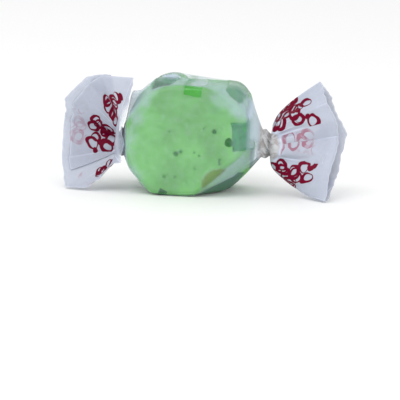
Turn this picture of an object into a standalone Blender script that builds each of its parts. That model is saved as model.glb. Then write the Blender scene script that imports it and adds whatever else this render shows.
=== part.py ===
"""Salt water taffy: a short cut of pulled taffy rope with darker stripes set in its side, rolled in one sheet
of wax paper whose two ends are twisted shut and flare out again.

Metres, +Z up. X runs along the twisted ends, and Y through the rope, with the shown cut face at -Y.
The origin is the middle of the flat spot under the taffy, on the surface that it stands on.
"""

import math

import bmesh
import bpy
import numpy as np
from mathutils import Matrix, Vector
from mathutils.bvhtree import BVHTree

MM = 0.001

# The cut of rope. Each facet of its outline has the direction of its normal in the XZ plane, in degrees from +X,
# and its distance from the rope's middle at the front cut face and from half way along to the back. A low ridge
# stands out of its top toward the back, and has facets of its own.
TAFFY_MIDDLE = 11.6 * MM
TAFFY_LENGTH = 19.4 * MM
TAFFY_FACETS = (
    (4, 12.2 * MM, 12.4 * MM),
    (42, 12.3 * MM, 13.5 * MM),
    (67, 11.2 * MM, 12.4 * MM),
    (90, 10.6 * MM, 9.8 * MM),
    (112, 11.3 * MM, 11.8 * MM),
    (145, 11.5 * MM, 12.6 * MM),
    (183, 11.7 * MM, 11.8 * MM),
    (221, 12.3 * MM, 12.1 * MM),
    (270, 11.1 * MM, 11.1 * MM),
    (315, 9.5 * MM, 13.6 * MM),
)
RIDGE_FACETS = (
    (52, 7.2 * MM, 7.2 * MM),
    (92, 10.0 * MM, 11.1 * MM),
    (130, 11.0 * MM, 12.2 * MM),
    (170, 11.0 * MM, 12.0 * MM),
)
RIDGE_START = 80
RIDGE_END = 150
FACET_SHARPNESS = 22
RIM_ROUNDING = 1.6 * MM
SIDE_SHARE = 0.45
RIM_SHARE = 0.68
ROPE_STEPS = 50
LENGTH_STEPS = 22

# Stripes: direction from the rope's middle in degrees, width, depth and how far behind the shown cut face it starts.
# One that starts at 0 ends in the cut face, and the others lie in the side only.
STRIPES = (
    (113, 4.4 * MM, 1.2 * MM, 1.8 * MM),
    (83, 3.6 * MM, 1.5 * MM, 0.0),
    (44, 4.2 * MM, 1.5 * MM, 1.8 * MM),
    (6, 5.4 * MM, 3.0 * MM, 0.0),
    (315, 4.8 * MM, 1.7 * MM, 1.8 * MM),
    (249, 1.8 * MM, 1.1 * MM, 0.0),
)
STRIPE_GAP = 0.2 * MM
STRIPE_EDGE = 0.5 * MM
BAR_OVERHANG = 4 * MM

# The paper. Its wall is thicker than wax paper, so that it is a sound solid.
PAPER_WALL = 0.3 * MM
PAPER_GAP = 0.3 * MM
PAPER_SLACK = 0.2 * MM
NODE_GAP = 0.05 * MM
COLLAR = 0.2 * MM
PLEATS = 12
SAMPLES_IN_PLEAT = 5
PLEAT_DEPTH = 0.7 * MM
PLEAT_START = 9.5 * MM
PLEAT_UNEVENNESS = 2.4
BODY_RINGS = 27
RAYS_ALONG = 81
RAY_START = 40 * MM
NECK_RINGS = 2
FAN_RINGS = 8
FLOOR_CLEARANCE = 0.4 * MM
EASED_HEIGHT = 1.2 * MM

# Each twisted end: its neck's two places along X and height, then the shape that it flares to.
NECK_RADIUS = 2.8 * MM
NECK_TWIST = math.radians(70)
RIGHT_NECK = (14.8 * MM, 16.8 * MM, 10.2 * MM)
LEFT_NECK = (-13.4 * MM, -14.8 * MM, 9.3 * MM)

# The cut edge of each flared end: direction round the neck in degrees from the back over the top, then how far
# it lies outward along X, toward the back and up, from the end of the neck.
RIGHT_EDGE = (
    (0, 15.0 * MM, 2.2 * MM, 2.4 * MM),
    (48, 12.2 * MM, 1.8 * MM, 8.9 * MM),
    (90, 9.6 * MM, -1.0 * MM, 13.4 * MM),
    (132, 12.4 * MM, -4.5 * MM, 9.6 * MM),
    (180, 14.8 * MM, -2.2 * MM, 2.8 * MM),
    (228, 13.4 * MM, -7.0 * MM, -5.1 * MM),
    (270, 12.0 * MM, -8.6 * MM, -10.2 * MM),
    (312, 13.6 * MM, -1.5 * MM, -5.6 * MM),
)
LEFT_EDGE = (
    (0, 11.1 * MM, 2.0 * MM, 3.4 * MM),
    (30, 11.3 * MM, 1.5 * MM, 8.0 * MM),
    (60, 6.8 * MM, 0.0 * MM, 12.4 * MM),
    (90, 3.0 * MM, -2.0 * MM, 13.7 * MM),
    (114, -3.7 * MM, -5.0 * MM, 13.8 * MM),
    (138, -3.4 * MM, -8.0 * MM, 10.2 * MM),
    (162, -2.5 * MM, -9.5 * MM, 4.2 * MM),
    (192, -2.4 * MM, -9.5 * MM, 0.1 * MM),
    (216, -2.2 * MM, -8.5 * MM, -3.8 * MM),
    (240, 1.5 * MM, -8.5 * MM, -6.6 * MM),
    (270, 4.9 * MM, -8.3 * MM, -8.8 * MM),
    (300, 9.5 * MM, -7.0 * MM, -9.0 * MM),
    (330, 11.5 * MM, 0.0 * MM, -4.2 * MM),
)
RIGHT_SHOULDER = (5.0 * MM, 0.6 * MM)
LEFT_SHOULDER = (2.0 * MM, 2.0 * MM)
FAN_WAVE = 1.1 * MM
FAN_WAVE_GROWTH = 1.5

# Linear colours, as the materials show them.
TAFFY_GREEN = (0.31, 0.62, 0.27)
STRIPE_GREEN = (0.012, 0.21, 0.012)
PAPER_WHITE = (0.72, 0.74, 0.80)


def clear_scene():
    for old in list(bpy.data.objects):
        bpy.data.objects.remove(old, do_unlink=True)


def new_collection(name):
    made = bpy.data.collections.new(name)
    bpy.context.scene.collection.children.link(made)
    return made


def new_material(name, colour, roughness, alpha=1.0):
    made = bpy.data.materials.new(name)
    made.use_nodes = True
    shader = made.node_tree.nodes["Principled BSDF"]
    shader.inputs["Base Color"].default_value = (*colour, 1)
    shader.inputs["Roughness"].default_value = roughness
    shader.inputs["Metallic"].default_value = 0
    shader.inputs["Alpha"].default_value = alpha
    return made


def new_object(name, shape, collection, material=None):
    """Turns a bmesh into an object of this collection, shaded smooth."""
    mesh = bpy.data.meshes.new(name)
    shape.to_mesh(mesh)
    shape.free()
    if material:
        mesh.materials.append(material)
    mesh.shade_smooth()
    made = bpy.data.objects.new(name, mesh)
    collection.objects.link(made)
    return made


def make_helper(obj):
    """A cutter or guide: it shapes other pieces and isn't one itself."""
    obj.hide_render = True
    obj.display_type = "WIRE"


def smooth(t):
    t = min(1.0, max(0.0, t))
    return t * t * (3 - 2 * t)


def facet_radius(facets, direction, along):
    """From the rope's middle to the nearest of these facets, in this direction, with softened corners."""
    total = 0.0
    for normal, front, back in facets:
        facing = math.cos(direction - math.radians(normal))
        if facing > 0:
            distance = front + (back - front) * smooth(2 * along)
            total += (facing / distance) ** FACET_SHARPNESS
    return total ** (-1 / FACET_SHARPNESS) if total else 0.0


def outline_radius(direction, along):
    """From the rope's middle to its side, in this direction; along is 0 at the front cut face and 1 at the back."""
    radius = facet_radius(TAFFY_FACETS, direction, along)
    if RIDGE_START < math.degrees(direction) % 360 < RIDGE_END:
        radius = max(radius, facet_radius(RIDGE_FACETS, direction, along))
    return radius


def rope_profile(latitude, grown):
    """(inset from the side, share of what is left, place along the rope) at a latitude from -1 to 1.

    From the middle outward come the rope's side, its rounded rim and the cut face, up to the pole."""
    rim = RIM_ROUNDING + grown
    half = TAFFY_LENGTH / 2 + grown
    reach = abs(latitude)
    way = math.copysign(1, latitude)
    if reach <= SIDE_SHARE:
        return 0.0, 1.0, way * (half - rim) * reach / SIDE_SHARE
    if reach <= RIM_SHARE:
        turn = (reach - SIDE_SHARE) / (RIM_SHARE - SIDE_SHARE) * math.pi / 2
        return rim * (1 - math.cos(turn)), 1.0, way * (half - rim * (1 - math.sin(turn)))
    return rim, (1 - reach) / (1 - RIM_SHARE), way * half


def rope_shape(grown=0.0):
    """A sphere primitive whose rings are moved onto the cut of rope's outline, grown by this much all round."""
    floor = PAPER_GAP + PAPER_WALL - grown
    shape = bmesh.new()
    bmesh.ops.create_uvsphere(
        shape,
        u_segments=ROPE_STEPS,
        v_segments=LENGTH_STEPS,
        radius=1.0,
        matrix=Matrix.Rotation(math.pi / 2, 4, "X"),
    )
    for vertex in shape.verts:
        latitude = math.asin(max(-1.0, min(1.0, vertex.co.y))) / (math.pi / 2)
        direction = math.atan2(vertex.co.z, vertex.co.x)
        inset, share, place = rope_profile(latitude, grown)
        radius = outline_radius(direction, place / TAFFY_LENGTH + 0.5) + grown
        radius = (radius - inset) * share
        height = max(floor, TAFFY_MIDDLE + radius * math.sin(direction))
        vertex.co = Vector((radius * math.cos(direction), place, height))
    bmesh.ops.recalc_face_normals(shape, faces=shape.faces)
    return shape


def stripe_bar(name, stripe, grown, collection):
    """A bar along the rope that reaches this stripe's depth into its side; grown widens it on each face."""
    direction, width, depth, start = stripe
    angle = math.radians(direction)
    outward = Vector((math.cos(angle), 0, math.sin(angle)))
    radius = outline_radius(angle, 0.5)
    front = (start - grown if start else -BAR_OVERHANG / 2) - TAFFY_LENGTH / 2
    back = (TAFFY_LENGTH + BAR_OVERHANG) / 2
    bar = bmesh.new()
    bmesh.ops.create_cube(bar, size=1.0)
    bmesh.ops.scale(
        bar,
        vec=(depth + BAR_OVERHANG + 2 * grown, back - front, width + 2 * grown),
        verts=bar.verts,
    )
    long_edges = [
        e for e in bar.edges if abs(e.verts[0].co.y - e.verts[1].co.y) > width
    ]
    bmesh.ops.bevel(bar, geom=long_edges, offset=STRIPE_EDGE, segments=2, affect="EDGES")
    bmesh.ops.rotate(bar, matrix=Matrix.Rotation(-angle, 3, "Y"), verts=bar.verts)
    middle = Vector((0, (front + back) / 2, TAFFY_MIDDLE)) + outward * (radius + (BAR_OVERHANG - depth) / 2)
    bmesh.ops.translate(bar, vec=middle, verts=bar.verts)
    return new_object(name, bar, collection)


def boolean(obj, operation, other=None, others=None):
    cut = obj.modifiers.new(operation.title(), "BOOLEAN")
    cut.operation = operation
    cut.solver = "EXACT"
    if others:
        cut.operand_type = "COLLECTION"
        cut.collection = others
    else:
        cut.object = other


def straight_over(places, radii):
    """The lowest curve without a dip that stays on or above these radii, as paper pulled tight lies."""
    kept = []
    for point in zip(places, radii):
        while len(kept) > 1:
            (x0, r0), (x1, r1) = kept[-2], kept[-1]
            if (r1 - r0) * (point[0] - x0) > (point[1] - r0) * (x1 - x0):
                break
            kept.pop()
        kept.append(point)
    return np.interp(places, [x for x, _ in kept], [r for _, r in kept])


def pleat_valley(turn):
    """0 on the ridge of a pleat and 1 in its valley, for a turn counted in pleats."""
    return 1 - abs(2 * (turn % 1.0) - 1)


def pleat_strength(turn):
    """Pleats are uneven: some are deep and some hardly there."""
    return 0.65 + 0.35 * math.sin(PLEAT_UNEVENNESS * int(turn))


def body_rings(tree):
    """Rings of paper round the taffy, from the left neck to the right one."""
    count = PLEATS * SAMPLES_IN_PLEAT
    left, right = LEFT_NECK[0], RIGHT_NECK[0]
    step = np.linspace(-1, 1, BODY_RINGS)
    step = (step + np.sin(step * math.pi / 2)) / 2
    places = left + (right - left) * (step + 1) / 2
    cast_places = np.linspace(left, right, RAYS_ALONG)
    rings = np.zeros((BODY_RINGS, count, 3))
    for i in range(count):
        angle = 2 * math.pi * i / count
        outward = Vector((0, math.cos(angle), math.sin(angle)))
        radii = []
        for place in cast_places:
            axis = Vector((place, 0, neck_height(place)))
            hit = tree.ray_cast(axis + outward * RAY_START, -outward, RAY_START)
            radii.append(max(NECK_RADIUS, RAY_START - hit[3] if hit[0] else 0.0))
        radii = np.interp(places, cast_places, straight_over(cast_places, radii))
        for k, place in enumerate(places):
            end = right if place > 0 else left
            gather = smooth((abs(place) - PLEAT_START) / (abs(end) - PLEAT_START))
            turn = i / SAMPLES_IN_PLEAT
            dip = PLEAT_DEPTH * gather * pleat_strength(turn) * pleat_valley(turn)
            radius = radii[k] - dip
            height = max(0.0, neck_height(place) + radius * outward.z)
            rings[k, i] = (place, radius * outward.y, height)
    return rings


def neck_height(place):
    """The height of the line from one neck to the other, at this place along X."""
    (left, _, low), (right, _, high) = LEFT_NECK, RIGHT_NECK
    share = min(1.0, max(0.0, (place - left) / (right - left)))
    return low + (high - low) * share


def end_rings(neck, edge, shoulder):
    """Rings of one end: first along its twisted neck, then out to the cut edge of the paper."""
    count = PLEATS * SAMPLES_IN_PLEAT
    start, end, height = neck
    side = math.copysign(1, end)
    keys = np.array(edge)
    rings = []
    for k in range(1, NECK_RINGS + FAN_RINGS + 1):
        twisted = min(1.0, k / NECK_RINGS)
        share = max(0.0, (k - NECK_RINGS) / FAN_RINGS)
        ring = []
        for i in range(count):
            turn = i / SAMPLES_IN_PLEAT
            angle = 2 * math.pi * i / count + side * NECK_TWIST * twisted
            dip = PLEAT_DEPTH * pleat_strength(turn) * pleat_valley(turn)
            outward = np.array((0, math.cos(angle), math.sin(angle)))
            root = outward * (NECK_RADIUS - dip * (1 - share))
            root[0] = start + (end - start) * twisted
            root[2] += height
            rim = np.array(
                [
                    np.interp(math.degrees(angle), keys[:, 0], keys[:, column], period=360)
                    for column in (1, 2, 3)
                ]
            )
            rim = rim * (side, 1, 1) + (end, 0, height)
            upright = math.sin(angle) ** 2
            reach = shoulder[0] * upright + shoulder[1] * (1 - upright)
            bend = root + outward * reach
            spot = (1 - share) ** 2 * root + 2 * share * (1 - share) * bend + share**2 * rim
            ring.append(spot)
        rings.append(ring)
    return np.array(rings)


def waved(rings):
    """These rings with each pleat of the flared part pushed out along the paper's normal."""
    count = rings.shape[1]
    around = np.roll(rings, -1, axis=1) - np.roll(rings, 1, axis=1)
    along = np.gradient(rings, axis=0)
    normal = np.cross(around, along)
    normal /= np.linalg.norm(normal, axis=2, keepdims=True)
    for k in range(NECK_RINGS + 1, len(rings)):
        rise = FAN_WAVE * smooth(FAN_WAVE_GROWTH * (k - NECK_RINGS) / FAN_RINGS)
        for i in range(count):
            turn = i / SAMPLES_IN_PLEAT
            push = rise * pleat_strength(turn) * (pleat_valley(turn) - 0.5)
            rings[k, i] += normal[k, i] * push
    return above_floor(rings)


def above_floor(rings):
    """Eases what comes near the floor, so that it bends along it and stays clear."""
    room = EASED_HEIGHT - FLOOR_CLEARANCE
    below = np.minimum(rings[..., 2] - EASED_HEIGHT, 0)
    eased = FLOOR_CLEARANCE + room * np.exp(below / room)
    rings[..., 2] = np.where(below < 0, eased, rings[..., 2])
    return rings


def wrapper_rings(tree):
    """The rings of the paper's three nodes: its left end, what lies round the taffy, and its right end.

    They meet half way along the necks, where each starts with a short straight collar, so that its rim is flat."""
    left = waved(end_rings(LEFT_NECK, LEFT_EDGE, LEFT_SHOULDER))
    right = waved(end_rings(RIGHT_NECK, RIGHT_EDGE, RIGHT_SHOULDER))
    to_right = np.array((1, 0, 0))
    left_seam = left[0]
    right_seam = right[0]
    middle = np.concatenate(
        [
            [left_seam, left_seam + to_right * COLLAR],
            body_rings(tree),
            [right_seam - to_right * COLLAR, right_seam],
        ]
    )
    left_collar = [left_seam - to_right * NODE_GAP, left_seam - to_right * (NODE_GAP + COLLAR)]
    right_collar = [right_seam + to_right * NODE_GAP, right_seam + to_right * (NODE_GAP + COLLAR)]
    left_end = np.concatenate([left_collar, left[1:]])
    right_end = np.concatenate([right_collar, right[1:]])
    return left_end[::-1], middle, right_end


def paper_shape(rings):
    """The paper's outer face: a grid primitive laid over the rings, with its two long edges welded to a tube."""
    along, around = rings.shape[:2]
    shape = bmesh.new()
    bmesh.ops.create_grid(shape, x_segments=around, y_segments=along - 1, size=1.0)
    for vertex in shape.verts:
        i = round((vertex.co.x + 1) / 2 * around) % around
        k = round((vertex.co.y + 1) / 2 * (along - 1))
        vertex.co = Vector(rings[k, i])
    bmesh.ops.remove_doubles(shape, verts=shape.verts, dist=0.001 * MM)
    bmesh.ops.recalc_face_normals(shape, faces=shape.faces)
    return shape


def main():
    clear_scene()
    pieces = new_collection("salt_water_taffy")
    helpers = new_collection("cutters")
    channels = new_collection("channels")
    taffy_green = new_material("taffy_green", TAFFY_GREEN, 0.55)
    stripe_green = new_material("stripe_green", STRIPE_GREEN, 0.3)
    wax_paper = new_material("wax_paper", PAPER_WHITE, 0.45, 0.6)

    form = new_object("rope_form", rope_shape(), helpers)
    make_helper(form)
    taffy = new_object("taffy", rope_shape(), pieces, taffy_green)
    for number, stripe in enumerate(STRIPES, 1):
        channel = stripe_bar(f"channel_{number}", stripe, STRIPE_GAP, channels)
        make_helper(channel)
        bar = stripe_bar(f"stripe_{number}", stripe, 0.0, pieces)
        bar.data.materials.append(stripe_green)
        boolean(bar, "INTERSECT", other=form)
    boolean(taffy, "DIFFERENCE", others=channels)

    wrapped = new_object("wrapped_form", rope_shape(PAPER_GAP + PAPER_WALL + PAPER_SLACK), helpers)
    make_helper(wrapped)
    tree = BVHTree.FromObject(wrapped, bpy.context.evaluated_depsgraph_get())
    for name, rings in zip(("wrapper_left_end", "wrapper", "wrapper_right_end"), wrapper_rings(tree)):
        paper = new_object(name, paper_shape(rings), pieces, wax_paper)
        wall = paper.modifiers.new("Paper wall", "SOLIDIFY")
        wall.thickness = PAPER_WALL
        wall.offset = -1.0


main()
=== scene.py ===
"""The looks of a wrapped salt water taffy: a striped cut of pulled taffy in a twisted sheet of printed wax paper.

Lengths are in metres, as the frame's are. X runs along the twisted ends, the shown cut face is at -Y, and +Z is up.
"""

import math

import bmesh
import bpy
import numpy as np
from bpy.props import FloatProperty, FloatVectorProperty, PointerProperty
from mathutils import Matrix, Vector, noise
from mathutils.bvhtree import BVHTree


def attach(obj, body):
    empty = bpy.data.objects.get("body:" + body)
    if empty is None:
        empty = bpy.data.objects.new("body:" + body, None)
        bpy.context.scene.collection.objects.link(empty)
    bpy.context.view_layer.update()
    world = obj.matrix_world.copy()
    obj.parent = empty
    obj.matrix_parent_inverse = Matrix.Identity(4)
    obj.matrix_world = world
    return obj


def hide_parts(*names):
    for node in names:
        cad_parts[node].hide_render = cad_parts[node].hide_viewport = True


bl_info = {
    "name": "Wrapped Salt Water Taffy",
    "version": (1, 0, 0),
    "blender": (4, 5, 0),
    "location": "3D View > Sidebar > Taffy",
    "description": "Models a striped cut of taffy in twisted, printed wax paper",
    "category": "Add Mesh",
}

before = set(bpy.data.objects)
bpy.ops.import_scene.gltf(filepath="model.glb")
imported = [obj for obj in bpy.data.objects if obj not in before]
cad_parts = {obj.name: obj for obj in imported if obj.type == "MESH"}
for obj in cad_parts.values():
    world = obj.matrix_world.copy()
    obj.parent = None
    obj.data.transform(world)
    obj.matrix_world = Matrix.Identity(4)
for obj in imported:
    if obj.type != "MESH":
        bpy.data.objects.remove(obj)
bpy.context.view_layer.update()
STRIPE_NODES = sorted(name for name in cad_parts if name.startswith("stripe_"))

MM = 0.001

# The cut of rope: each facet of its outline has the direction of its normal in the XZ plane, in degrees from +X, and
# its distance in mm from the rope's middle, at the front cut face and from half way along to the back. A low ridge
# stands out of its top toward the back, and has facets of its own.
ROPE_FACETS = (
    (4, 12.2, 12.4),
    (42, 12.3, 13.7),
    (67, 11.2, 13.2),
    (90, 10.6, 10.0),
    (112, 11.3, 11.8),
    (145, 11.5, 12.4),
    (183, 11.7, 11.8),
    (221, 12.3, 12.1),
    (270, 11.1, 11.1),
    (315, 9.5, 13.6),
)
RIDGE_FACETS = (
    (52, 7.2, 7.2),
    (92, 10.0, 11.3),
    (130, 11.0, 12.3),
    (170, 11.0, 12.0),
)
RIDGE_START = 80
RIDGE_END = 150
FACET_SHARPNESS = 30
ROPE_GROWTH = 0.3
RIM_ROUNDING = 1.2
SIDE_SHARE = 0.25
RIM_SHARE = 0.44
ROPE_SEGMENTS = 204
ROPE_RINGS = 150
CANDY_FLOOR = 0.15

# Stripes: direction from the rope's middle in degrees, then width, depth and how far behind the shown cut face the
# jelly starts, in mm, and its light: 1 where it shines through and is painted brighter, -1 where it is painted
# darker as deep in shade. The side covers the front of one that starts further back than OPEN_START.
STRIPES = (
    (114, 5.2, 1.2, 1.8, 0),
    (83, 3.6, 1.5, 0.05, 1),
    (44, 4.2, 1.5, 1.8, 0),
    (6, 5.7, 3.3, 0.12, 0),
    (315, 4.8, 1.7, 1.8, 0),
    (249, 1.8, 1.1, 0.3, -1),
)
OPEN_START = 1.0
JELLY_BLOB = (8.8, 11.5, 0.85, 2.4)

# Air holes and dents in the shown cut face: place along X, height, radius and depth in mm, and how dark the painted
# shade in it is.
PITS = (
    (5.8, 13.5, 0.48, 0.3, 1.0),
    (-1.75, 8.7, 0.55, 0.25, 0.9),
    (-0.85, 9.15, 0.42, 0.15, 0.7),
    (7.05, 7.9, 0.28, 0.05, 0.8),
    (7.0, 7.45, 0.28, 0.05, 0.8),
    (7.1, 7.0, 0.28, 0.05, 0.8),
    (-3.25, 13.1, 0.24, 0.1, 0.6),
    (-3.95, 3.95, 0.34, 0.15, 0.6),
    (-1.85, 3.95, 0.28, 0.1, 0.6),
    (1.9, 9.1, 0.27, 0.05, 0.6),
    (2.9, 8.5, 0.27, 0.05, 0.6),
    (2.1, 5.8, 0.26, 0.05, 0.5),
    (3.6, 13.9, 0.26, 0.1, 0.5),
    (5.7, 17.6, 1.15, 0.12, 0.16),
    (0.6, 14.9, 0.50, 0.05, 0.1),
    (-5.2, 16.6, 0.8, 0.12, 0.0),
    (2.0, 5.6, 1.0, 0.12, 0.0),
)

# How cloudy the paper is along the edge of the shown cut face, by direction in degrees.
FACE_VEIL = ((0, 0.55), (30, 0.7), (58, 0.5), (74, 0.0), (95, 0.0), (112, 0.3), (140, 0.6), (180, 0.6), (215, 0.5), (240, 0.2), (260, 0.05), (330, 0.1))

# What the paper's material reads at each point.
PAPER_VALUES = (
    "veil",
    "tinted",
    "jelly_and_shade",
    "crease",
    "rim",
    "twist",
    "flare",
    "sector",
    "print_zone",
    "faded_zone",
    "stain",
    "cone",
)

# The paper sheet. Its columns run round the candy from the inner free edge to the outer one, in degrees from the back
# over the top, and its rows run along it. The sheet goes round more than once, so that two layers overlap.
SHEET_START = 86
SHEET_TURN = 500
LIFT_START = 424
LIFT_TURN = 26
FREE_EDGE_SLANT = 13
COLUMNS = 320
CAST_COLUMNS = 240
CAST_ROWS = 141
BODY_ROWS = 74
NECK_ROWS = 8
FAN_ROWS = 30
LAYER_GAP = 0.14
CLING_GAP = 0.07
NECK_RADIUS = 2.95
PLEAT_START = 7.5
PLEAT_DEPTH = 0.4
CLOSING_DEPTH = 3.0
LEFT_TWIST = -130
RIGHT_TWIST = 70
RIGHT_NECK = (14.8, 16.8, 10.2)
LEFT_NECK = (-13.4, -14.8, 9.3)
FLOOR_CLEARANCE = 0.1
EASED_HEIGHT = 1.0

# The cut edge of each flared end: direction round the neck in degrees from the back over the top, then how far it
# lies outward along X, toward the back and up, from the end of the neck, in mm.
RIGHT_EDGE = (
    (0, 15.0, 2.2, 2.4),
    (24, 13.7, 2.6, 5.5),
    (48, 12.2, 1.8, 8.9),
    (90, 9.8, -1.0, 13.4),
    (112, 10.4, -3.2, 11.6),
    (132, 11.4, -4.5, 9.4),
    (156, 12.9, -4.0, 6.1),
    (180, 13.7, -2.2, 2.6),
    (204, 13.2, -4.4, -1.0),
    (228, 12.3, -7.0, -5.1),
    (270, 11.8, -8.8, -10.2),
    (312, 13.6, -1.5, -5.6),
)
LEFT_EDGE = (
    (0, 11.1, 2.0, 3.4),
    (30, 11.3, 1.5, 8.0),
    (60, 7.1, 1.0, 12.8),
    (90, 3.3, -1.0, 13.6),
    (114, -3.3, -4.2, 13.7),
    (138, -3.4, -8.0, 10.2),
    (162, -2.5, -9.5, 4.2),
    (192, -2.4, -9.5, 0.1),
    (213, -2.0, -8.8, -3.0),
    (222, -0.6, -8.6, -3.1),
    (240, 2.0, -8.5, -5.4),
    (255, 3.2, -8.4, -7.1),
    (270, 4.9, -8.3, -8.8),
    (300, 9.5, -7.0, -9.0),
    (330, 11.5, 0.0, -4.2),
)
# The print's sectors in each part of the sheet end at these directions, so that no mark is stretched; they lie this
# far apart in the sheet's own coordinates, in mm.
LEFT_SECTORS = (40, 125, 235, 316)
RIGHT_SECTORS = (30, 156, 206, 285)
SECTOR_SHIFT = 24
# Each end: its side, neck, cut edge, how far it bellies out beside the neck, its twist in degrees, and the broad fold
# in its flared part, by direction, half width in degrees and height in mm.
SHEET_ENDS = (
    (-1, LEFT_NECK, LEFT_EDGE, (2.0, 2.0), LEFT_TWIST, (40, 30, -0.6)),
    (1, RIGHT_NECK, RIGHT_EDGE, (4.2, 0.6), RIGHT_TWIST, (183, 26, 1.3)),
)


class TaffyRope(bpy.types.PropertyGroup):
    """The cut of taffy and its stripes."""

    length: FloatProperty(
        name="Length",
        description="Length of the cut of rope, front to back",
        default=0.0200,
        unit="LENGTH",
    )
    middle: FloatProperty(
        name="Middle",
        description="Height of the rope's middle above the floor",
        default=0.0116,
        unit="LENGTH",
    )
    rope_colour: FloatVectorProperty(
        name="Taffy colour",
        description="Colour of the pulled taffy",
        subtype="COLOR",
        size=3,
        default=(0.140, 0.405, 0.108),
    )
    stripe_colour: FloatVectorProperty(
        name="Stripe colour",
        description="Colour of the darker, jelly-like stripes",
        subtype="COLOR",
        size=3,
        default=(0.010, 0.24, 0.010),
    )
    lit_colour: FloatVectorProperty(
        name="Lit stripe colour",
        description="Colour of the stripe that the light comes through",
        subtype="COLOR",
        size=3,
        default=(0.03, 0.345, 0.0),
    )


class TaffyPaper(bpy.types.PropertyGroup):
    """The printed wax paper."""

    thickness: FloatProperty(
        name="Thickness",
        description="Thickness of the wax paper",
        default=0.00006,
        unit="LENGTH",
    )
    colour: FloatVectorProperty(
        name="Paper colour",
        description="Colour of the wax paper",
        subtype="COLOR",
        size=3,
        default=(0.575, 0.612, 0.712),
    )
    # The tint is painted light: the paper close to the candy gets this brighter colour for the candy's light that it
    # scatters.
    tint: FloatVectorProperty(
        name="Tint",
        description="Colour of the paper close to the candy, whose light it scatters",
        subtype="COLOR",
        size=3,
        default=(0.67, 0.81, 0.94),
    )
    ink_colour: FloatVectorProperty(
        name="Ink colour",
        description="Colour of the printed rings and dots",
        subtype="COLOR",
        size=3,
        default=(0.165, 0.0, 0.020),
    )


class TaffyStage(bpy.types.PropertyGroup):
    """Where the camera stands and how it turns."""

    azimuth: FloatProperty(
        name="Azimuth",
        description="Camera's turn from straight in front, toward +X",
        default=math.radians(5),
        subtype="ANGLE",
    )
    elevation: FloatProperty(
        name="Elevation",
        description="Camera's angle above the horizon",
        default=math.radians(8),
        subtype="ANGLE",
    )
    roll: FloatProperty(
        name="Roll",
        description="Camera's turn about its own line of sight",
        default=math.radians(2),
        subtype="ANGLE",
    )
    distance: FloatProperty(
        name="Distance",
        description="From the camera to the shown cut face",
        default=0.45,
        unit="LENGTH",
    )


def smooth(t):
    t = np.clip(t, 0.0, 1.0)
    return t * t * (3 - 2 * t)


def deselect_all():
    for obj in bpy.context.selected_objects:
        obj.select_set(False)


def new_piece(name):
    """The primitive that was just added, under this name."""
    piece = bpy.context.active_object
    piece.name = name
    piece.data.name = name
    return piece


def set_points(piece, points):
    piece.data.vertices.foreach_set("co", np.ascontiguousarray(points, dtype=np.float32).ravel())
    piece.data.update()


def get_points(piece):
    points = np.empty(len(piece.data.vertices) * 3, dtype=np.float32)
    piece.data.vertices.foreach_get("co", points)
    return points.reshape(-1, 3).astype(float)


def apply_modifiers(piece):
    deselect_all()
    piece.select_set(True)
    bpy.context.view_layer.objects.active = piece
    for modifier in list(piece.modifiers):
        bpy.ops.object.modifier_apply(modifier=modifier.name)


def bvh_of(*pieces):
    points, faces = [], []
    for piece in pieces:
        first = len(points)
        points += [v.co.copy() for v in piece.data.vertices]
        faces += [tuple(first + v for v in p.vertices) for p in piece.data.polygons]
    return BVHTree.FromPolygons(points, faces)


# The candy


def facet_radius(facets, direction, along):
    """From the rope's middle to the nearest of these facets, in mm, with softened corners."""
    total = np.zeros_like(direction)
    for normal, front, back in facets:
        facing = np.clip(np.cos(direction - math.radians(normal)), 0, None)
        distance = front + (back - front) * smooth(2 * along)
        total += (facing / distance) ** FACET_SHARPNESS
    return np.maximum(total, 1e-40) ** (-1 / FACET_SHARPNESS)


def outline_radius(direction, along):
    """From the rope's middle to its side, in metres; along is 0 at the front cut face and 1 at the back."""
    radius = facet_radius(ROPE_FACETS, direction, along)
    turn = np.degrees(direction) % 360
    on_ridge = (turn > RIDGE_START) & (turn < RIDGE_END)
    ridge = np.where(on_ridge, facet_radius(RIDGE_FACETS, direction, along), 0)
    return (np.maximum(radius, ridge) + ROPE_GROWTH) * MM


def rope_points(points, length, middle):
    """Moves the points of a unit sphere, whose poles are on Y, onto the cut of rope."""
    latitude = np.arcsin(np.clip(points[:, 1], -1, 1)) / (math.pi / 2)
    direction = np.arctan2(points[:, 2], points[:, 0])
    reach = np.abs(latitude)
    rim = RIM_ROUNDING * MM
    half = length / 2
    turn = np.clip((reach - SIDE_SHARE) / (RIM_SHARE - SIDE_SHARE), 0, 1) * math.pi / 2
    on_side = reach <= SIDE_SHARE
    place = np.where(on_side, (half - rim) * reach / SIDE_SHARE, half - rim * (1 - np.sin(turn)))
    place = np.where(reach > RIM_SHARE, half, place) * np.sign(latitude)
    inset = np.where(on_side, 0, rim * (1 - np.cos(turn)))
    share = np.where(reach > RIM_SHARE, (1 - reach) / (1 - RIM_SHARE), 1)
    radius = (outline_radius(direction, place / length + 0.5) - inset) * share
    height = middle + radius * np.sin(direction)
    return np.stack([radius * np.cos(direction), place, height], axis=1)


def pit_depths(points):
    """How deep the pits of the shown cut face are at these points, in mm, and how dark their painted shade is there.
    """
    depth = np.zeros(len(points))
    dark = np.zeros(len(points))
    front = smooth((-points[:, 1] / MM - 7.5) / 1.5)
    for place, height, radius, deep, shade in PITS:
        away = np.hypot(points[:, 0] / MM - place, points[:, 2] / MM - height) / radius
        dip = np.exp(-(away**2)) * front
        depth += deep * dip
        dark = np.maximum(dark, shade * dip)
    return depth, dark


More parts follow.
